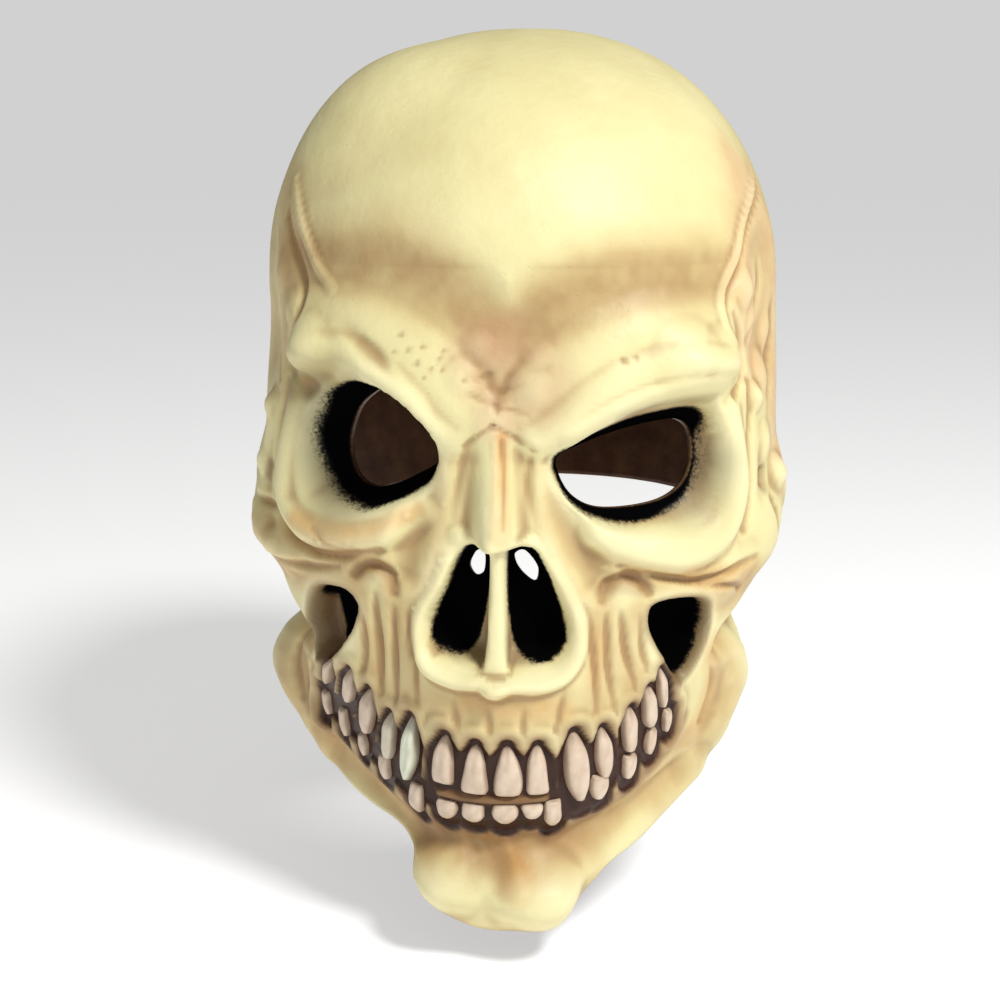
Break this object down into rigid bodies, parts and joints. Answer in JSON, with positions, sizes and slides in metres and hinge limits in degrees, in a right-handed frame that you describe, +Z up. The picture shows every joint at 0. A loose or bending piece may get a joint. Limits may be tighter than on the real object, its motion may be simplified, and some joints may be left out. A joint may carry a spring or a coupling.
{
  "type": "skull mask",
  "caption": "One-piece rubber skull mask that pulls over the whole head, with eye holes to see through, nostril slits and an open bottom",
  "frame": {"origin": "the top of the hollow, on the inside of the crown, where the mask sits on a head", "axes": "the face looks towards -Y, +X is on the viewer's right when the viewer looks at the face, and +Z is up"},
  "size_m": [0.1808, 0.2265, 0.2847],
  "materials": {
    "bone_rubber": "matt moulded latex, airbrushed in cream, tan and black"
  },
  "bodies": {
    "root": {"mask_shell": "bone_rubber"}
  },
  "joints": []
}
